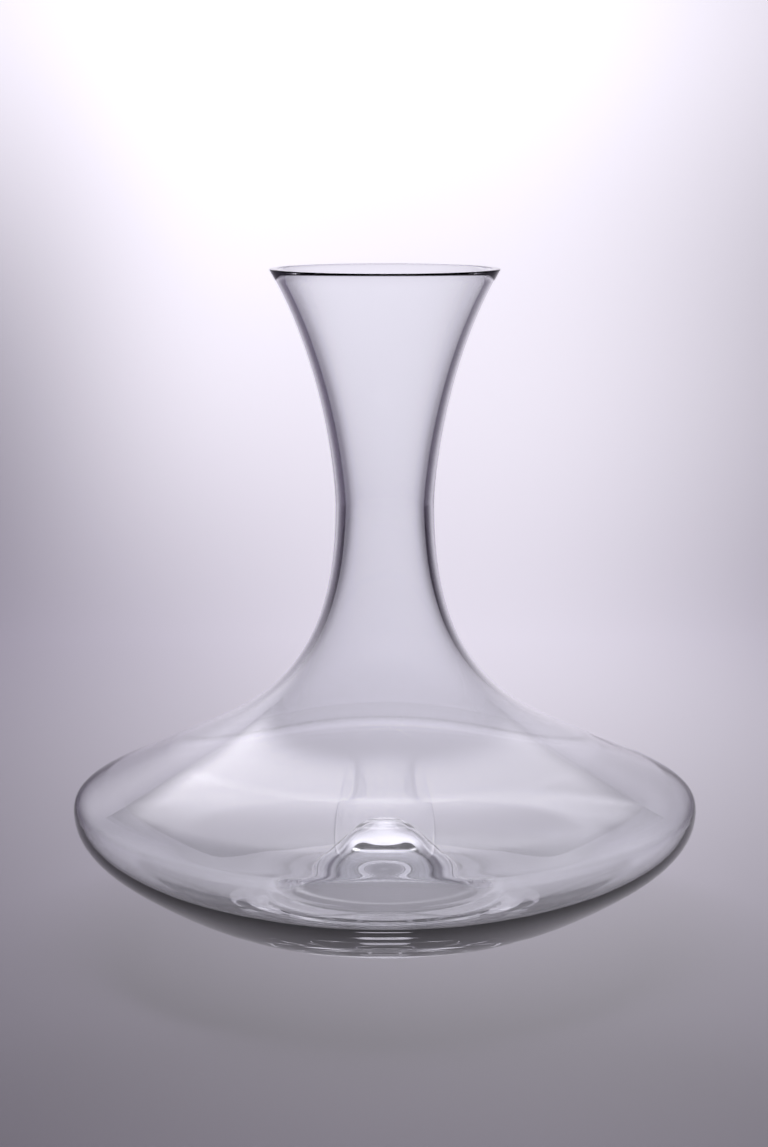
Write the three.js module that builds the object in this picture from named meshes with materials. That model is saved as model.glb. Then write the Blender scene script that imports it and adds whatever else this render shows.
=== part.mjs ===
// A wine decanter blown as one piece of clear glass: a wide, low bowl, a concave neck that opens into a
// flared mouth, and a punt pushed up into the bowl from below. Millimetres, +Z up, with the origin on
// the axis at the level of the surface that the foot ring stands on.
import * as THREE from 'three';

// Overall sizes.
const HEIGHT = 229.4; // foot ring to cut rim
const BOWL_DIAMETER = 220;
const BOWL_HEIGHT = 41; // level of the widest diameter

// Mouth and neck.
const MOUTH_DIAMETER = 80; // outer edge of the rim
const MOUTH_SLOPE = 60; // degrees up from level, at the rim
const NECK_DIAMETER = 34.4; // outside, at the narrowest level
const NECK_HEIGHT = 147.5; // level of the narrowest diameter
const LIP_ROUNDING = 0.9; // how far the fire polish rounds each edge of the cut rim

// Shoulder: a straight cone that starts just inside and above the widest diameter.
const SHOULDER_INSET = 10.6;
const SHOULDER_RISE = 9.4;
const SHOULDER_SLOPE = 24.8; // degrees up from level, going in
const SHOULDER_LENGTH = 25.8; // along the cone

// Lower bowl and foot ring.
const FLANK_INSET = 19.5; // from the widest diameter in to the steepest part of the lower bowl
const FLANK_HEIGHT = 17.4; // level of that part
const FOOT_DIAMETER = 84; // outer edge of the flat ring that the vessel stands on
const FOOT_WIDTH = 2.5; // of that ring

// Punt, measured inside the vessel.
const PUNT_HEIGHT = 33.3; // of its top, above the foot ring
const PUNT_DIAMETER = 36; // at its steepest level
const PUNT_STEEP_HEIGHT = 23.2; // that level
const PUNT_SLOPE = 44.5; // degrees up from level, there

// Wall thickness of the glass, which is thinnest where the bowl was blown widest.
const MOUTH_WALL = 2.7;
const NECK_WALL = 3.5;
const SHOULDER_WALL = 1.3;
const BOWL_WALL = 1.6; // at the widest diameter
const FLANK_WALL = 2.8;
const FLOOR_WALL = 8; // over the foot ring
const PUNT_WALL = 6.2; // at the punt's steepest level
const PUNT_TOP_WALL = 8.8; // on the axis

// How far each curve keeps the heading of its two ends, as shares of the distance between them.
const FOOT_TO_FLANK = [0.28, 0.47];
const FLANK_TO_BOWL = [0.45, 0.32];
const BOWL_TO_SHOULDER = [0.3, 0.66];
const STRAIGHT = [1 / 3, 1 / 3];
const SHOULDER_TO_NECK = [0.33, 0.57];
const NECK_TO_MOUTH = [0.1, 0.45];
const FLOOR_TO_PUNT = [0.26, 0.59];
const PUNT_TO_TOP = [0.62, 0.38];
const FOOT_TO_HOLLOW = [0.15, 0.45];
const HOLLOW_TO_TOP = [0.4, 0.5];
// The lower bowl turns up from the foot ring by this many times the angle of its chord.
const FLANK_TURN = 1.65;

// Facets.
const SIDES = 48; // around the axis
const STEPS = { long: 8, tight: 7, short: 5, cone: 1, lip: 3 }; // along each curve
const CLOSEST = 0.01; // points nearer to each other than this are one point

const OUTWARD = 0;
const INWARD = 180;
const UPWARD = 90;

const radians = THREE.MathUtils.degToRad;
const heading = (degrees) => new THREE.Vector2(Math.cos(radians(degrees)), Math.sin(radians(degrees)));

// A station is a place on an outline: its radius, its height and the way that the outline runs there.
const station = (radius, height, degrees) => ({
  point: new THREE.Vector2(radius, height),
  degrees,
});

// The station that faces another across the glass, on the left of the way that the outline runs.
function across(place, wall) {
  const normal = heading(place.degrees + 90);
  return { ...place, point: place.point.clone().addScaledVector(normal, wall) };
}

// The smooth curve from one station to the next.
function curveBetween(from, to, [leadOut, leadIn]) {
  const reach = from.point.distanceTo(to.point);
  return new THREE.CubicBezierCurve(
    from.point,
    from.point.clone().addScaledVector(heading(from.degrees), leadOut * reach),
    to.point.clone().addScaledVector(heading(to.degrees), -leadIn * reach),
    to.point,
  );
}

// The round edge between two surfaces that would meet at a corner.
function roundEdge(start, corner, end) {
  return new THREE.QuadraticBezierCurve(start, corner, end).getPoints(STEPS.lip);
}

const withoutRepeats = (points) => points.filter((p, i) => i === 0 || p.distanceTo(points[i - 1]) > CLOSEST);

// The stations of the outer surface, from the foot ring up to the rim.
function outerStations() {
  const bowlRadius = BOWL_DIAMETER / 2;
  const foot = station(FOOT_DIAMETER / 2, 0, OUTWARD);
  const flankPoint = new THREE.Vector2(bowlRadius - FLANK_INSET, FLANK_HEIGHT);
  const chordAngle = THREE.MathUtils.radToDeg(flankPoint.clone().sub(foot.point).angle());
  const flank = station(flankPoint.x, flankPoint.y, FLANK_TURN * chordAngle);
  const bowl = station(bowlRadius, BOWL_HEIGHT, UPWARD);
  const cone = INWARD - SHOULDER_SLOPE;
  const shoulder = station(bowlRadius - SHOULDER_INSET, BOWL_HEIGHT + SHOULDER_RISE, cone);
  const coneEnd = shoulder.point.clone().addScaledVector(heading(cone), SHOULDER_LENGTH);
  const collar = station(coneEnd.x, coneEnd.y, cone);
  const neck = station(NECK_DIAMETER / 2, NECK_HEIGHT, UPWARD);
  const rim = station(MOUTH_DIAMETER / 2, HEIGHT, MOUTH_SLOPE);
  return { foot, flank, bowl, shoulder, collar, neck, rim };
}

// The place this far back along a station's direction.
function behind(place, distance) {
  return place.point.clone().addScaledVector(heading(place.degrees), -distance);
}

// Both surfaces of the wall, from the foot ring up to where the rim's outer edge starts to round over.
// The inner surface lies across the glass from every point of the outer one.
function wallOutlines(places) {
  const belowRim = { ...places.rim, point: behind(places.rim, LIP_ROUNDING) };
  const runs = [
    [places.foot, places.flank, FOOT_TO_FLANK, STEPS.short, FLOOR_WALL, FLANK_WALL],
    [places.flank, places.bowl, FLANK_TO_BOWL, STEPS.short, FLANK_WALL, BOWL_WALL],
    [places.bowl, places.shoulder, BOWL_TO_SHOULDER, STEPS.tight, BOWL_WALL, SHOULDER_WALL],
    [places.shoulder, places.collar, STRAIGHT, STEPS.cone, SHOULDER_WALL, SHOULDER_WALL],
    [places.collar, places.neck, SHOULDER_TO_NECK, STEPS.long, SHOULDER_WALL, NECK_WALL],
    [places.neck, belowRim, NECK_TO_MOUTH, STEPS.long, NECK_WALL, MOUTH_WALL],
  ];
  const outer = [];
  const inner = [];
  for (const [from, to, leads, steps, firstWall, lastWall] of runs) {
    const curve = curveBetween(from, to, leads);
    for (let step = 0; step <= steps; step += 1) {
      const share = step / steps;
      const point = curve.getPoint(share);
      const { x, y } = curve.getTangent(share);
      const wall = THREE.MathUtils.lerp(firstWall, lastWall, share);
      outer.push(point);
      inner.push(point.clone().addScaledVector(new THREE.Vector2(-y, x), wall));
    }
  }
  return { outer, inner };
}

// The whole wall, from the foot ring up over the level cut at the mouth and down to the floor.
function wallOutline(places) {
  const { outer, inner } = wallOutlines(places);
  const outerRim = places.rim.point;
  const rimWidth = MOUTH_WALL / Math.sin(radians(MOUTH_SLOPE));
  const innerRim = station(outerRim.x - rimWidth, outerRim.y, MOUTH_SLOPE);
  const innerEdge = behind(innerRim, LIP_ROUNDING);
  const level = new THREE.Vector2(LIP_ROUNDING, 0);
  return [
    ...outer,
    ...roundEdge(outer.at(-1), outerRim, outerRim.clone().sub(level)),
    ...roundEdge(innerRim.point.clone().add(level), innerRim.point, innerEdge),
    ...inner.filter((point) => point.y < innerEdge.y - LIP_ROUNDING).reverse(),
  ];
}

// One surface of the punt, from its base up past its steepest part to its top on the axis.
function puntOutline([base, steep, top], [leadsToSteep, leadsToTop]) {
  return [
    ...curveBetween(base, steep, leadsToSteep).getPoints(STEPS.short),
    ...curveBetween(steep, top, leadsToTop).getPoints(STEPS.short),
  ];
}

// The whole section through the glass, from the hollow under the punt round to the punt's top.
function vesselSection() {
  const places = outerStations();
  const footRadius = places.foot.point.x;
  const floor = station(footRadius, FLOOR_WALL, INWARD);
  const footInnerEdge = station(footRadius - FOOT_WIDTH, 0, INWARD);
  const steep = station(PUNT_DIAMETER / 2, PUNT_STEEP_HEIGHT, INWARD - PUNT_SLOPE);
  const top = station(0, PUNT_HEIGHT, INWARD);
  const hollowStations = [footInnerEdge, across(steep, PUNT_WALL), across(top, PUNT_TOP_WALL)];
  const hollow = puntOutline(hollowStations, [FOOT_TO_HOLLOW, HOLLOW_TO_TOP]);
  const punt = puntOutline([floor, steep, top], [FLOOR_TO_PUNT, PUNT_TO_TOP]);
  return withoutRepeats([...hollow.reverse(), ...wallOutline(places), ...punt]);
}

const clearGlass = new THREE.MeshStandardMaterial({
  name: 'clear_glass',
  color: 0xeef1f2,
  roughness: 0.02,
  metalness: 0,
  transparent: true,
  opacity: 0.35,
});

const section = vesselSection();
section[0].x = 0;
section[section.length - 1].x = 0;
const vesselShape = new THREE.LatheGeometry(section, SIDES);
vesselShape.rotateX(Math.PI / 2); // the lathe turns about +Y, and the vessel stands along +Z

const vessel = new THREE.Mesh(vesselShape, clearGlass);
vessel.name = 'decanter_vessel';

const decanter = new THREE.Group();
decanter.add(vessel);

export default decanter;
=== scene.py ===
"""A wine decanter blown in one piece from clear glass, standing on a pale sweep under soft light."""

import logging
import math
from dataclasses import dataclass
from enum import Enum
from typing import Any, Sequence

import bpy
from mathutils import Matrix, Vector


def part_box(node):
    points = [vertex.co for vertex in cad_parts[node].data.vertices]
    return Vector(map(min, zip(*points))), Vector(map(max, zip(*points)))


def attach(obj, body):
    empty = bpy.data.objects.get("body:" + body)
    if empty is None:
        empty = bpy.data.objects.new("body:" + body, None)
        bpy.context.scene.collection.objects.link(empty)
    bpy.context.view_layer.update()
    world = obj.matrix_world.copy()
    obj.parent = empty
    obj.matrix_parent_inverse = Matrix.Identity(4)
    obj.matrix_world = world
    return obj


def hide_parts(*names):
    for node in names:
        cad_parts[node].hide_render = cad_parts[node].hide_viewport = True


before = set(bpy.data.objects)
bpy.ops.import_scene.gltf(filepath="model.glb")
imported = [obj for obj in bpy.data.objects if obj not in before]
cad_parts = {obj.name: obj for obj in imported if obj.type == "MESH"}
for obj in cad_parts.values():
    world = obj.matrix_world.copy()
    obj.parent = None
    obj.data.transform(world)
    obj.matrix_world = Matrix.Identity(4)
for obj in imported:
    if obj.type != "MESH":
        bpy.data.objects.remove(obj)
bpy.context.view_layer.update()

MM = 0.001
VESSEL_NODE = "decanter_vessel"

log = logging.getLogger("decanter")


class Heading(Enum):
    """Level and upright ways that an outline can run, in degrees up from straight out."""

    OUTWARD = 0.0
    UPWARD = 90.0
    INWARD = 180.0


def linear(hex_colour: str, alpha: float = 1.0) -> tuple[float, float, float, float]:
    """Turn an sRGB hex colour to linear light.

    Args:
        hex_colour: Six hex digits, with or without a leading hash.
        alpha: The fourth value.

    Returns:
        Red, green, blue and alpha.
    """
    digits = hex_colour.lstrip("#")
    parts = [int(digits[i : i + 2], 16) / 255 for i in (0, 2, 4)]
    return (*(p / 12.92 if p <= 0.04045 else ((p + 0.055) / 1.055) ** 2.4 for p in parts), alpha)


def add_node(
    tree: bpy.types.NodeTree,
    kind: str,
    links: dict[Any, Any] | None = None,
    **settings: Any,
) -> Any:
    """Add one node to a tree, with its settings and its links.

    Args:
        tree: The tree that gets the node.
        kind: The node's type name.
        links: Input name or number to either an output socket or a plain value.
        **settings: Properties of the node.

    Returns:
        The new node.
    """
    node = tree.nodes.new(kind)
    for name, value in settings.items():
        setattr(node, name, value)
    for key, value in (links or {}).items():
        if isinstance(value, bpy.types.NodeSocket):
            tree.links.new(value, node.inputs[key])
        else:
            node.inputs[key].default_value = value
    return node


def deselect_all() -> None:
    """Leave object mode with nothing selected."""
    if bpy.context.object and bpy.context.object.mode != "OBJECT":
        bpy.ops.object.mode_set(mode="OBJECT")
    bpy.ops.object.select_all(action="DESELECT")


def finish_piece(name: str) -> bpy.types.Object:
    """Name the active object and put its place into its mesh.

    Args:
        name: The piece's name.

    Returns:
        The piece.
    """
    piece = bpy.context.object
    bpy.ops.object.transform_apply(location=True, rotation=True, scale=True)
    piece.name = name
    piece.data.name = name
    return piece


# ---------------------------------------------------------------------------------------------
# The vessel's outline
# ---------------------------------------------------------------------------------------------


@dataclass(frozen=True)
class Station:
    """A place on an outline: radius and height in millimetres, and the way that the outline runs there."""

    radius: float
    height: float
    degrees: float

    @property
    def point(self) -> Vector:
        """The place as a flat vector of radius and height."""
        return Vector((self.radius, self.height))

    @property
    def direction(self) -> Vector:
        """The unit vector along the outline."""
        return Vector((math.cos(math.radians(self.degrees)), math.sin(math.radians(self.degrees))))

    def across(self, wall: float) -> "Station":
        """Find the station that faces this one across the glass.

        Args:
            wall: How thick the glass is.

        Returns:
            The station on the left of the way that the outline runs, with the same heading.
        """
        side = math.radians(self.degrees + 90)
        return Station(self.radius + wall * math.cos(side), self.height + wall * math.sin(side), self.degrees)

    def back(self, distance: float) -> "Station":
        """Step back along the outline's direction.

        Args:
            distance: How far to step.

        Returns:
            The station there, with the same heading.
        """
        place = self.point - self.direction * distance
        return Station(place.x, place.y, self.degrees)


def bezier(points: Sequence[Vector], steps: int) -> list[Vector]:
    """Sample a Bezier curve of any degree by repeated halving between its control points.

    Args:
        points: The control points.
        steps: How many equal parameter steps to take.

    Returns:
        The points along the curve, both ends included.
    """
    sampled = []
    for step in range(steps + 1):
        t = step / steps
        level = [p.copy() for p in points]
        while len(level) > 1:
            level = [a.lerp(b, t) for a, b in zip(level, level[1:])]
        sampled.append(level[0])
    return sampled


def join(start: Station, end: Station, lead: tuple[float, float], steps: int) -> list[Vector]:
    """Draw the smooth curve from one station to the next.

    Args:
        start: Where the curve starts.
        end: Where it ends.
        lead: How far it keeps the heading of each end, as shares of the distance between them.
        steps: How many parts it is drawn in.

    Returns:
        The points along the curve.
    """
    reach = (end.point - start.point).length
    return bezier(
        [
            start.point,
            start.point + start.direction * lead[0] * reach,
            end.point - end.direction * lead[1] * reach,
            end.point,
        ],
        steps,
    )


@dataclass
class VesselOutline:
    """The section through the glass, from the hollow under the punt round to the punt's top. Millimetres."""

    height: float
    bowl_radius: float
    bowl_height: float = 41.0
    mouth_radius: float = 40.0
    mouth_slope: float = 60.0
    neck_radius: float = 17.2
    neck_height: float = 147.5
    lip_rounding: float = 0.9
    shoulder_inset: float = 10.6
    shoulder_rise: float = 9.4
    shoulder_slope: float = 24.8
    shoulder_length: float = 25.8
    flank_inset: float = 19.5
    flank_height: float = 17.4
    flank_turn: float = 1.65
    foot_radius: float = 42.0
    foot_width: float = 2.5
    punt_height: float = 33.3
    punt_radius: float = 18.0
    punt_steep_height: float = 23.2
    punt_slope: float = 44.5
    mouth_wall: float = 2.7
    neck_wall: float = 3.5
    shoulder_wall: float = 1.3
    bowl_wall: float = 1.6
    flank_wall: float = 2.8
    floor_wall: float = 8.0
    punt_wall: float = 6.2
    punt_top_wall: float = 8.8
    foot_to_flank: tuple[float, float] = (0.28, 0.47)
    flank_to_bowl: tuple[float, float] = (0.45, 0.32)
    bowl_to_shoulder: tuple[float, float] = (0.3, 0.66)
    straight: tuple[float, float] = (0.33, 0.33)
    shoulder_to_neck: tuple[float, float] = (0.33, 0.57)
    neck_to_mouth: tuple[float, float] = (0.1, 0.45)
    floor_to_punt: tuple[float, float] = (0.26, 0.59)
    punt_to_top: tuple[float, float] = (0.62, 0.38)
    foot_to_hollow: tuple[float, float] = (0.15, 0.45)
    hollow_to_top: tuple[float, float] = (0.4, 0.5)
    steps: int = 26
    lip_steps: int = 5
    cut_clearance: float = 0.5
    closest: float = 1e-4

    def outer(self) -> dict[str, Station]:
        """Place the outer surface's stations.

        Returns:
            Each station by name, from the foot ring up to the rim.
        """
        foot = Station(self.foot_radius, 0.0, Heading.OUTWARD.value)
        flank_radius = self.bowl_radius - self.flank_inset
        chord = math.degrees(math.atan2(self.flank_height, flank_radius - self.foot_radius))
        cone = Heading.INWARD.value - self.shoulder_slope
        shoulder = Station(self.bowl_radius - self.shoulder_inset, self.bowl_height + self.shoulder_rise, cone)
        collar = shoulder.back(-self.shoulder_length)
        return {
            "foot": foot,
            "flank": Station(flank_radius, self.flank_height, self.flank_turn * chord),
            "bowl": Station(self.bowl_radius, self.bowl_height, Heading.UPWARD.value),
            "shoulder": shoulder,
            "collar": collar,
            "neck": Station(self.neck_radius, self.neck_height, Heading.UPWARD.value),
            "rim": Station(self.mouth_radius, self.height, self.mouth_slope),
        }

    def wall(self, places: dict[str, Station]) -> tuple[list[Vector], list[Vector]]:
        """Draw both surfaces of the wall, from the foot ring up to where the rim starts to round over.

        Args:
            places: The outer surface's stations.

        Returns:
            The outer surface, and the inner one, which lies across the glass from every point of it.
        """
        below_rim = places["rim"].back(self.lip_rounding)
        runs = (
            (places["foot"], places["flank"], self.foot_to_flank, self.floor_wall, self.flank_wall),
            (places["flank"], places["bowl"], self.flank_to_bowl, self.flank_wall, self.bowl_wall),
            (places["bowl"], places["shoulder"], self.bowl_to_shoulder, self.bowl_wall, self.shoulder_wall),
            (places["shoulder"], places["collar"], self.straight, self.shoulder_wall, self.shoulder_wall),
            (places["collar"], places["neck"], self.shoulder_to_neck, self.shoulder_wall, self.neck_wall),
            (places["neck"], below_rim, self.neck_to_mouth, self.neck_wall, self.mouth_wall),
        )
        outer, inner = [], []
        for start, end, lead, first_wall, last_wall in runs:
            curve = join(start, end, lead, self.steps)
            for step, point in enumerate(curve):
                ahead = curve[min(step + 1, self.steps)] - curve[max(step - 1, 0)]
                if step in (0, self.steps):
                    ahead = (start if step == 0 else end).direction
                share = step / self.steps
                thick = first_wall + (last_wall - first_wall) * share
                outer.append(point)
                inner.append(point + Vector((-ahead.y, ahead.x)).normalized() * thick)
        return outer, inner

    def punt(self, stations: Sequence[Station], leads: Sequence[tuple[float, float]]) -> list[Vector]:
        """Draw one surface of the punt.

        Args:
            stations: Its base, its steepest part and its top on the axis.
            leads: The leads of the curves between them.

        Returns:
            The points from the base to the top.
        """
        base, steep, top = stations
        return [*join(base, steep, leads[0], self.steps), *join(steep, top, leads[1], self.steps)]

    def section(self) -> list[Vector]:
        """Draw the whole section.

        Returns:
            The points from the hollow's top round to the punt's top, both on the axis.
        """
        places = self.outer()
        outer_wall, inner_wall = self.wall(places)
        outer_rim = places["rim"].point
        inner_rim = outer_rim - Vector((self.mouth_wall / math.sin(math.radians(self.mouth_slope)), 0.0))
        below_cut = Station(inner_rim.x, inner_rim.y, self.mouth_slope).back(self.lip_rounding).point
        inner_wall = [p for p in inner_wall if p.y < below_cut.y - self.cut_clearance] + [below_cut]
        steep = Station(self.punt_radius, self.punt_steep_height, Heading.INWARD.value - self.punt_slope)
        floor = Station(self.foot_radius, self.floor_wall, Heading.INWARD.value)
        foot_edge = Station(self.foot_radius - self.foot_width, 0.0, Heading.INWARD.value)
        top = Station(0.0, self.punt_height, Heading.INWARD.value)
        punt = self.punt((floor, steep, top), (self.floor_to_punt, self.punt_to_top))
        hollow = self.punt(
            (foot_edge, steep.across(self.punt_wall), top.across(self.punt_top_wall)),
            (self.foot_to_hollow, self.hollow_to_top),
        )
        level = Vector((self.lip_rounding, 0.0))
        points = [
            *reversed(hollow),
            *outer_wall,
            *bezier([outer_wall[-1], outer_rim, outer_rim - level], self.lip_steps),
            *bezier([inner_rim + level, inner_rim, inner_wall[-1]], self.lip_steps),
            *reversed(inner_wall),
            *punt,
        ]
        points[0].x = points[-1].x = 0.0
        return [p for i, p in enumerate(points) if i == 0 or (p - points[i - 1]).length > self.closest]


# ---------------------------------------------------------------------------------------------
# Finishes
# ---------------------------------------------------------------------------------------------


@dataclass(frozen=True)
class BlownGlass:
    """Clear soda-lime glass, blown and fire-polished."""

    name: str = "clear_blown_glass"
    colour: str = "fdfeff"
    ior: float = 1.52
    roughness: float = 0.0
    wave_length_mm: float = 22.0
    wave_strength: float = 0.02

    def material(self) -> bpy.types.Material:
        """Build the material. Slow waves in the skin bend what is seen through it a little.

        Returns:
            The material.
        """
        made = bpy.data.materials.new(self.name)
        made.use_nodes = True
        tree = made.node_tree
        tree.nodes.clear()
        place = add_node(tree, "ShaderNodeTexCoord").outputs["Object"]
        waves = add_node(
            tree,
            "ShaderNodeTexNoise",
            {"Vector": place, "Scale": 1 / (self.wave_length_mm * MM), "Detail": 1.0, "Roughness": 0.4},
        )
        bump = add_node(
            tree,
            "ShaderNodeBump",
            {"Height": waves.outputs["Fac"], "Strength": self.wave_strength, "Distance": 1 * MM},
        )
        shader = add_node(
            tree,
            "ShaderNodeBsdfPrincipled",
            {
                "Base Color": linear(self.colour),
                "Roughness": self.roughness,
                "IOR": self.ior,
                "Transmission Weight": 1.0,
                "Normal": bump.outputs["Normal"],
            },
        )
        add_node(tree, "ShaderNodeOutputMaterial", {"Surface": shader.outputs["BSDF"]})
        return made


@dataclass(frozen=True)
class PaintedLightPool:
    """A soft pool of painted light, an emission glow on the sweep: its middle and its reach, in metres."""

    strength: float
    middle: tuple[float, float, float]
    reach_across: float
    reach_along: float


@dataclass(frozen=True)
class SweepPaper:
    """Matt white paper lit by the lamps, with painted light on top: an emission glow painted in soft pools,
    brightest high up at the back.

    The painted glow carries a faint violet cast, painted to stand in for cool studio light.
    """

    name: str = "matt_paper_painted_glow"
    colour: str = "bab2c8"
    pools: tuple[PaintedLightPool, ...] = ()

    def material(self) -> bpy.types.Material:
        """Build the material: plain matt paper and the painted glow of its pools of light, an emission that
        stands in for light.

        Returns:
            The material.
        """
        made = bpy.data.materials.new(self.name)
        made.use_nodes = True
        tree = made.node_tree
        tree.nodes.clear()
        place = add_node(tree, "ShaderNodeTexCoord").outputs["Object"]
        painted_glow: Any = 0.0
        # Each pool adds painted light: a soft emission glow that falls off from its middle.
        for pool in self.pools:
            reach = (1 / pool.reach_across, 1 / pool.reach_along, 1 / pool.reach_along)
            offset = tuple(-m * r for m, r in zip(pool.middle, reach))
            local = add_node(tree, "ShaderNodeMapping", {"Vector": place, "Location": offset, "Scale": reach})
            away = add_node(
                tree,
                "ShaderNodeVectorMath",
                {0: local.outputs["Vector"], 1: local.outputs["Vector"]},
                operation="DOT_PRODUCT",
            )
            minus = add_node(tree, "ShaderNodeMath", {0: away.outputs["Value"], 1: -1.0}, operation="MULTIPLY")
            power = add_node(tree, "ShaderNodeMath", {0: minus.outputs["Value"]}, operation="EXPONENT")
            painted_glow = add_node(
                tree,
                "ShaderNodeMath",
                {0: power.outputs["Value"], 1: pool.strength, 2: painted_glow},
                operation="MULTIPLY_ADD",
            ).outputs["Value"]

        def shade(share: float, extra: float) -> Any:
            """Scale and lift the painted glow for one colour."""
            values = {0: painted_glow, 1: share, 2: extra}
            return add_node(tree, "ShaderNodeMath", values, operation="MULTIPLY_ADD").outputs["Value"]

        # The painted glow is tinted a faint violet.
        tint = add_node(
            tree,
            "ShaderNodeCombineColor",
            {
                "Red": shade(1.035, 0.004),
                "Green": painted_glow,
                "Blue": shade(1.085, 0.006),
            },
        )
        # The paper's matt colour takes the lamps' real light, and the emission paints the glow on top of it.
        shader = add_node(
            tree,
            "ShaderNodeBsdfPrincipled",
            {
                "Base Color": linear(self.colour),
                "Roughness": 0.9,
                "Specular IOR Level": 0.0,
                "Emission Color": tint.outputs["Color"],
                "Emission Strength": 1.0,
            },
        )
        add_node(tree, "ShaderNodeOutputMaterial", {"Surface": shader.outputs["BSDF"]})
        return made


# ---------------------------------------------------------------------------------------------
# The decanter
# ---------------------------------------------------------------------------------------------


@dataclass
class Vessel:
    """The whole decanter: one wall of glass from the punt round the bowl, up the neck and over the rim."""

    outline: VesselOutline
    finish: BlownGlass
    turns: int = 224

    def build(self) -> bpy.types.Object:
        """Trace the section as a line of vertices, spin it about the axis and close it.

        Returns:
            The vessel.
        """
        section = [Vector((p.x, 0.0, p.y)) * MM for p in self.outline.section()]
        deselect_all()
        bpy.ops.mesh.primitive_plane_add(size=MM, location=section[0])
        bpy.ops.object.mode_set(mode="EDIT")
        bpy.ops.mesh.select_all(action="SELECT")
        bpy.ops.mesh.merge(type="CENTER")
        bpy.ops.mesh.select_all(action="SELECT")
        for here, there in zip(section, section[1:]):
            bpy.ops.mesh.extrude_region_move(TRANSFORM_OT_translate={"value": there - here})
        bpy.ops.mesh.select_all(action="SELECT")
        bpy.ops.mesh.spin(steps=self.turns, angle=math.tau, center=(0, 0, 0), axis=(0, 0, 1))
        bpy.ops.mesh.select_all(action="SELECT")
        bpy.ops.mesh.remove_doubles(threshold=0.001 * MM)
        bpy.ops.mesh.normals_make_consistent(inside=False)
        bpy.ops.object.mode_set(mode="OBJECT")
        bpy.ops.object.shade_smooth()
        return finish_piece("blown_vessel")

    def dress(self, piece: bpy.types.Object) -> None:
        """Give the vessel its glass and tie it to the frame.

        Args:
            piece: The vessel.
        """
        piece.data.materials.clear()
        piece.data.materials.append(self.finish.material())
        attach(piece, "root")
        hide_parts(VESSEL_NODE)


# ---------------------------------------------------------------------------------------------
# The stage
# ---------------------------------------------------------------------------------------------


@dataclass
class Sweep:
    """A sheet of paper that lies flat under the vessel and curves up behind it. Metres."""

    finish: SweepPaper
    half_width: float = 1.2
    front: float = -1.3
    cove_start: float = 0.50
    cove_radius: float = 0.35
    top: float = 1.3
    gap: float = 0.00005
    cove_steps: int = 24

    def build(self) -> bpy.types.Object:
        """Lay the flat part, spin its back edge up through a quarter turn and raise the wall.

        Returns:
            The sheet.
        """
        deselect_all()
        middle = (self.cove_start + self.front) / 2
        bpy.ops.mesh.primitive_plane_add(size=2.0, location=(0, middle, -self.gap))
        sheet = bpy.context.object
        sheet.scale = (self.half_width, (self.cove_start - self.front) / 2, 1.0)
        bpy.ops.object.transform_apply(location=True, rotation=True, scale=True)
        bpy.ops.object.mode_set(mode="EDIT")
        bpy.ops.mesh.select_mode(type="EDGE")
        bpy.ops.mesh.select_all(action="DESELECT")
        bpy.ops.object.mode_set(mode="OBJECT")
        for edge in sheet.data.edges:
            edge.select = all(sheet.data.vertices[v].co.y > self.cove_start - MM for v in edge.vertices)
        bpy.ops.object.mode_set(mode="EDIT")
        bpy.ops.mesh.spin(
            steps=self.cove_steps,
            angle=math.pi / 2,
            center=(0, self.cove_start, self.cove_radius - self.gap),
            axis=(-1, 0, 0),
        )
        rise = self.top - self.cove_radius
        bpy.ops.mesh.extrude_region_move(TRANSFORM_OT_translate={"value": (0, 0, rise)})
        bpy.ops.object.mode_set(mode="OBJECT")
        bpy.ops.object.shade_smooth()
        return finish_piece("paper_sweep")

    def dress(self, piece: bpy.types.Object) -> None:
        """Give the sweep its paper.

        Args:
            piece: The sheet.
        """
        # The paper's material carries the painted glow of its pools of light.
        piece.data.materials.append(self.finish.material())


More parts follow.
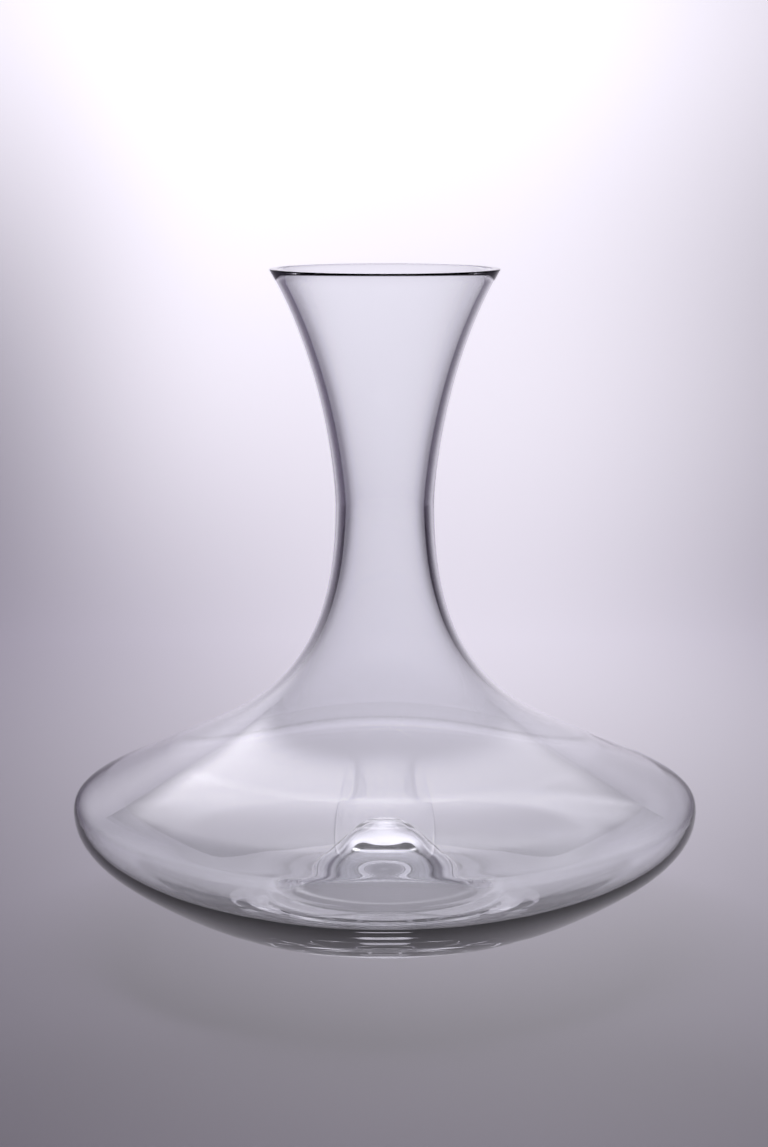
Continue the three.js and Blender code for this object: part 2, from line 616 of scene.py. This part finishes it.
@dataclass(frozen=True)
class DiffusionSilk:
    """White silk over a bank of tubes bent in an arch: bright along the arch, soft on both sides of it."""

    arch_middle: Vector
    upward: Vector
    reach_across: float
    reach_up: float
    name: str = "white_diffusion_silk"
    colour: str = "fbf7ff"
    radiance: float = 3.0
    softness: float = 0.16
    right_loss: float = 0.6
    low_end: float = 0.15
    low_fade: float = 3.0

    def material(self) -> bpy.types.Material:
        """Build the material: light from one side only, strongest where the arch runs behind the silk.

        Returns:
            The material.
        """
        made = bpy.data.materials.new(self.name)
        made.use_nodes = True
        tree = made.node_tree
        tree.nodes.clear()

        def vector(operation: str, first: Any, second: Any) -> Any:
            """Add one step of vector maths."""
            return add_node(tree, "ShaderNodeVectorMath", {0: first, 1: second}, operation=operation).outputs

        def maths(operation: str, first: Any, second: Any = 0.0) -> Any:
            """Add one step of plain maths."""
            return add_node(tree, "ShaderNodeMath", {0: first, 1: second}, operation=operation).outputs["Value"]

        place = add_node(tree, "ShaderNodeTexCoord").outputs["Object"]
        local = vector("SUBTRACT", place, self.arch_middle)["Vector"]
        across = vector("DOT_PRODUCT", local, (1 / self.reach_across, 0.0, 0.0))["Value"]
        up = vector("DOT_PRODUCT", local, self.upward / self.reach_up)["Value"]
        squares = maths("ADD", maths("MULTIPLY", across, across), maths("MULTIPLY", up, up))
        off_arch = maths("DIVIDE", maths("SUBTRACT", maths("SQRT", squares), 1.0), self.softness)
        glow = maths("EXPONENT", maths("MULTIPLY", maths("MULTIPLY", off_arch, off_arch), -1.0))
        above_end = maths("MULTIPLY", maths("ADD", up, self.low_end), self.low_fade)
        fade_low = maths("MINIMUM", maths("MAXIMUM", above_end), 1.0)
        side = maths("SUBTRACT", 1.0, maths("MULTIPLY", maths("MAXIMUM", across), self.right_loss))
        front = maths("SUBTRACT", 1.0, add_node(tree, "ShaderNodeNewGeometry").outputs["Backfacing"])
        shape = maths("MULTIPLY", maths("MULTIPLY", glow, fade_low), maths("MULTIPLY", side, front))
        strength = maths("MULTIPLY", shape, self.radiance)
        light = add_node(tree, "ShaderNodeEmission", {"Color": linear(self.colour), "Strength": strength})
        add_node(tree, "ShaderNodeOutputMaterial", {"Surface": light.outputs["Emission"]})
        return made


@dataclass(frozen=True)
class LightBank:
    """One silk panel behind and above the vessel, which lights its shoulder in an arch. Metres."""

    rise: float = 50.0
    distance: float = 0.9
    target: tuple[float, float, float] = (0.0, 0.0, 0.06)
    width: float = 1.2
    height: float = 0.9
    arch_drop: float = 0.32
    arch_across: float = 0.436
    arch_up: float = 0.565

    def build(self) -> bpy.types.Object:
        """Hang the panel square to the line from the vessel, with its lit side towards it.

        Returns:
            The panel.
        """
        turn = math.radians(self.rise)
        outward = Vector((0.0, math.cos(turn), math.sin(turn)))
        upward = Vector((0.0, -math.sin(turn), math.cos(turn)))
        middle = Vector(self.target) + self.distance * outward
        deselect_all()
        bpy.ops.mesh.primitive_plane_add(size=1.0, location=middle)
        panel = bpy.context.object
        panel.rotation_euler = (-outward).to_track_quat("Z", "X").to_euler()
        panel.scale = (self.height, self.width, 1.0)
        piece = finish_piece("silk_panel")
        silk = DiffusionSilk(middle - self.arch_drop * upward, upward, self.arch_across, self.arch_up)
        piece.data.materials.append(silk.material())
        return piece


@dataclass(frozen=True)
class Viewpoint:
    """A camera that looks down at the vessel's axis from the front. Metres and degrees."""

    distance: float = 0.8467
    height: float = 0.2685
    tilt: float = 9.747
    lens_mm: float = 76.9
    aside: float = -0.0003

    def build(self) -> bpy.types.Object:
        """Add the camera and make it the scene's.

        Returns:
            The camera.
        """
        deselect_all()
        bpy.ops.object.camera_add(
            location=(self.aside, -self.distance, self.height),
            rotation=(math.radians(90 - self.tilt), 0, 0),
        )
        camera = bpy.context.object
        camera.name = "camera"
        camera.data.lens = self.lens_mm
        camera.data.sensor_width = 36.0
        camera.data.clip_start = 0.05
        bpy.context.scene.camera = camera
        return camera


@dataclass
class Studio:
    """The sweep, the light bank, the room around them and how the scene is seen."""

    sweep: Sweep
    bank: LightBank
    room_colour: str = "8b898f"
    room_strength: float = 0.05

    def build(self) -> None:
        """Build everything that isn't the decanter."""
        piece = self.sweep.build()
        self.sweep.dress(piece)
        log.info("stage %s", piece.name)
        log.info("stage %s", self.bank.build().name)
        self.room()
        self.seeing()

    def room(self) -> None:
        """A dim even room, seen only in the glass and past the sweep's edges."""
        scene = bpy.context.scene
        scene.world = bpy.data.worlds.new("studio_room")
        scene.world.use_nodes = True
        tree = scene.world.node_tree
        tree.nodes.clear()
        glow = add_node(
            tree,
            "ShaderNodeBackground",
            {"Color": linear(self.room_colour), "Strength": self.room_strength},
        )
        add_node(tree, "ShaderNodeOutputWorld", {"Surface": glow.outputs["Background"]})

    def seeing(self) -> None:
        """Plain colour handling, and enough bounces for light to pass every wall of the glass."""
        scene = bpy.context.scene
        scene.view_settings.view_transform = "Standard"
        scene.cycles.max_bounces = 24
        scene.cycles.transmission_bounces = 24
        scene.cycles.glossy_bounces = 12
        scene.cycles.diffuse_bounces = 3
        scene.cycles.use_denoising = True


def main() -> None:
    """Build the camera, the decanter and the stage, in that order, and log each piece."""
    logging.basicConfig(level=logging.INFO, format="%(name)s: %(message)s")
    Viewpoint().build()
    low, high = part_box(VESSEL_NODE)
    outline = VesselOutline(height=high[2] / MM, bowl_radius=(high[0] - low[0]) / 2 / MM)
    vessel = Vessel(outline, BlownGlass())
    piece = vessel.build()
    vessel.dress(piece)
    log.info("piece %s: %d faces", piece.name, len(piece.data.polygons))

    # The paper's painted light: soft pools of emission glow, each with its strength, middle, reach across and
    # reach along.
    paper = SweepPaper(
        pools=(
            PaintedLightPool(0.877, (-0.101, 0.850, 0.412), 0.600, 0.231),
            PaintedLightPool(0.254, (-0.137, 0.784, 0.145), 0.109, 0.205),
            PaintedLightPool(0.589, (0.046, 0.468, 0.0), 0.239, 0.618),
            PaintedLightPool(0.172, (0.158, 0.759, 0.115), 0.261, 0.159),
        )
    )
    Studio(Sweep(paper), LightBank()).build()


if __name__ == "__main__":
    main()
